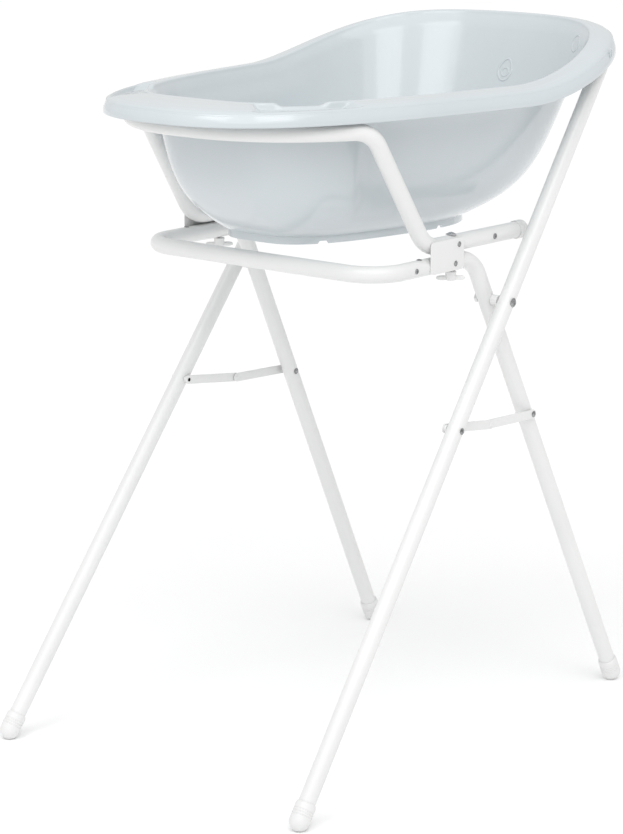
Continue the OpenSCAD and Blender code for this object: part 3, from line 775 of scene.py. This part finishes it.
def make_links():
    """The four flat spreader bars, two on each side from an end rivet to the middle one."""
    dx, dz = LINK_B[0] - LINK_A[0], LINK_B[1] - LINK_A[1]
    d = math.hypot(dx, dz)
    middle = ((LINK_A[0] + LINK_B[0]) / 2 + dz / d * LINK_SAG,
              (LINK_A[1] + LINK_B[1]) / 2 - dx / d * LINK_SAG)
    for kind, end, y in (("outer", LINK_A, LINK_Y + LINK_T + 0.5), ("inner", LINK_B, LINK_Y)):
        vx, vz = middle[0] - end[0], middle[1] - end[1]
        length = math.hypot(vx, vz)
        c, s = vx / length, vz / length
        outline = arc((length, 0), LINK_W / 2, -90, 90, 16)
        outline += arc((0, 0), LINK_W / 2, 90, 270, 16)
        flat = plate(outline, LINK_T, 0.7)
        for side, name in SIDES:
            def to_world(p, side=side, c=c, s=s, end=end, y=y):
                return (end[0] + p[0] * c - p[1] * s, side * (y + p[2]),
                        end[1] + p[0] * s + p[1] * c)

            bar = kind + "_bar_" + name
            obj = mesh(bar, *moved(flat, to_world, side > 0), bar, COAT, "white_paint", 40)
            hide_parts(kind + "_link_" + name)


def button(radius, height, cross):
    """A domed head on a flat face, with a cross recess of the given depth."""
    big = (radius * radius + height * height) / (2 * height)
    sides, rings = 48, 14
    points = []
    for i in range(1, rings + 1):
        rho = radius * i / rings
        for k in range(sides):
            a = 2 * math.pi * k / sides
            x, y = rho * math.cos(a), rho * math.sin(a)
            z = 0.25 + (math.sqrt(big * big - rho * rho) - (big - height)) * (1 - 0.25 / height)
            arm = smooth((0.2 * radius - min(abs(x), abs(y))) / (0.1 * radius))
            z -= cross * arm * smooth((0.62 * radius - rho) / (0.12 * radius))
            points.append((x, y, z))
    for k in range(sides):
        a = 2 * math.pi * k / sides
        points.append((radius * math.cos(a), radius * math.sin(a), 0))
    n = len(points)
    points.append((0, 0, height - cross))
    faces = [(n, k, (k + 1) % sides) for k in range(sides)]
    for i in range(rings):
        for k in range(sides):
            m = (k + 1) % sides
            faces.append((i * sides + k, (i + 1) * sides + k,
                          (i + 1) * sides + m, i * sides + m))
    faces.append(tuple(reversed(range(rings * sides, (rings + 1) * sides))))
    return points, faces


def make_heads():
    """Screw and rivet heads on the inner frame."""
    rivets, side_screws, rail_screws = [], [], []
    for side in (-1, 1):
        def on_side(x, z, y, side=side):
            return frame_at((x, side * y, z), (0, side, 0), (1, 0, 0))

        for x, z in RIVET_SPOTS:
            rivets.append(moved(button(*RIVET), on_side(x, z, PLATE_Y + PLATE_T)))
        side_screws.append(moved(button(*SIDE_SCREW), on_side(SIDE_SCREW_X, LOWER_Z, PLATE_Y)))
        top = (TOP_SCREW_X, side * INNER_HALF, LOWER_Z + TUBE_R + SKIN_GAP)
        side_screws.append(moved(button(*TOP_SCREW), frame_at(top, (0, 0, 1), (1, 0, 0))))
        rail_screws.append(moved(button(*RAIL_SCREW), on_side(RAIL_SCREW_X, RAIL_Z, PLATE_Y)))
    for name, parts, node in (("rivet_heads", rivets, "bracket_rivets"),
                              ("tube_screw_heads", side_screws, "lower_tube_screws"),
                              ("rail_screw_heads", rail_screws, "rail_screws")):
        obj = mesh(name, *merged(parts), "inner_frame", ZINC, "zinc_steel", 35)
        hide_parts(node)


def make_plug():
    """The drain's plug: stem, flange and a waisted grip."""
    profile = [
        (0, -3.3), (15.6, -3.3), (16.4, -2.6), (16.5, -0.3), (17.4, 0.1), (20.4, 0.1),
        (20.9, 0.7), (20.9, 2.0), (20.3, 2.8), (16.4, 2.7), (15.0, 1.7), (6.8, 1.4),
        (4.8, 2.5), (4.0, 4.4), (3.9, 6.0), (4.5, 7.2), (5.6, 8.6), (5.95, 10.0),
        (5.6, 12.2), (4.3, 14.2), (2.2, 15.6), (0, 15.95),
    ]
    base = frame_at((DRAIN_X, 0, FLOOR_Z + SHELL_T + 0.4), (0, 0, 1), (1, 0, 0))
    plug = mesh("rubber_plug", *moved(lathe(profile), base), "plug", RUBBER, "plug_rubber", 50)
    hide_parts("drain_plug")


# ---- finish of the CAD nodes that stay -----------------------------------------------
def finish_nodes():
    """The materials of the CAD's own nodes."""
    slots = {s["node"]: s["material_slot"] for s in frame["record"]["subparts"]}
    for name, obj in frame["nodes"].items():
        material = BRIGHT_ZINC if name == "clamp_bolts" else FINISH[slots[name]]
        for slot in obj.material_slots:
            slot.link = "OBJECT"
            slot.material = material


# ---- stage, light and camera, in metres ----------------------------------------------
FLOOR_REACH = 160.0
FLOOR_TINTS = ((0.3, (0.96, 0.96, 0.96, 1)), (0.7, (0.98, 0.98, 0.98, 1)))
BACKDROP_POWER = 0.78
BATH_PLACE = (0.35, 0.14, 1.0)
SKY_POWER, SKY_ANGLE, SKY_AIM = 1.05, 70, (0.55, 0.45, -1.0)
CAMERA_PLACE, CAMERA_TURN = (-3.1953, -2.6358, 1.4440), (76.737, 0.0, -49.756)
CAMERA_LENS, CAMERA_REACH = 118.80, 500


def window(name, place, size, power):
    """A soft box that shines on the bath."""
    data = bpy.data.lights.new(name, "AREA")
    data.shape = "RECTANGLE"
    data.size, data.size_y = size
    data.energy = power
    light = bpy.data.objects.new(name, data)
    bpy.context.scene.collection.objects.link(light)
    light.location = place
    aim = Vector(BATH_PLACE) - Vector(place)
    light.rotation_euler = aim.to_track_quat("-Z", "Y").to_euler()


def make_floor():
    """A white floor."""
    data = bpy.data.meshes.new("floor")
    corners = ((-1, -1), (1, -1), (1, 1), (-1, 1))
    data.from_pydata([(x * FLOOR_REACH, y * FLOOR_REACH, 0) for x, y in corners],
                     [], [(0, 1, 2, 3)])
    floor = bpy.data.objects.new("floor", data)
    bpy.context.scene.collection.objects.link(floor)
    material, tree, shader, place = new_material("studio_floor")
    tint = ramp(tree, noise(tree, place, 1.5), FLOOR_TINTS)
    tree.links.new(tint, shader.inputs["Base Color"])
    shader.inputs["Roughness"].default_value = 0.9
    shader.inputs["Specular IOR Level"].default_value = 0.1
    data.materials.append(material)


def make_light():
    """A plain backdrop, two windows that show in the bath's gloss, and a wide soft sky."""
    scene = bpy.context.scene
    world = bpy.data.worlds.new("studio")
    scene.world = world
    world.use_nodes = True
    back = world.node_tree.nodes["Background"]
    back.inputs["Color"].default_value = (1, 1, 1, 1)
    back.inputs["Strength"].default_value = BACKDROP_POWER
    scene.view_settings.view_transform = "Standard"

    window("window_left", (-1.17, -1.84, 2.98), (1.15, 1.3), 9.2)
    window("window_right", (-2.15, 0.0, 2.98), (1.4, 1.3), 10.8)
    sun = bpy.data.lights.new("sky_panel", "SUN")
    sun.energy = SKY_POWER
    sun.angle = math.radians(SKY_ANGLE)
    lamp = bpy.data.objects.new("sky_panel", sun)
    scene.collection.objects.link(lamp)
    lamp.rotation_euler = Vector(SKY_AIM).to_track_quat("-Z", "Y").to_euler()


def make_camera():
    """The photo's view."""
    scene = bpy.context.scene
    data = bpy.data.cameras.new("camera")
    data.lens, data.sensor_width, data.sensor_fit = CAMERA_LENS, 36.0, "AUTO"
    data.clip_end = CAMERA_REACH
    camera = bpy.data.objects.new("camera", data)
    scene.collection.objects.link(camera)
    camera.location = CAMERA_PLACE
    camera.rotation_euler = [math.radians(a) for a in CAMERA_TURN]
    scene.camera = camera


make_floor()
make_light()
make_camera()
make_bath()
make_base_ring()
make_ribs()
make_marks()
make_tubes()
make_feet()
make_caps()
make_knobs()
make_brackets()
make_links()
make_heads()
make_plug()
finish_nodes()
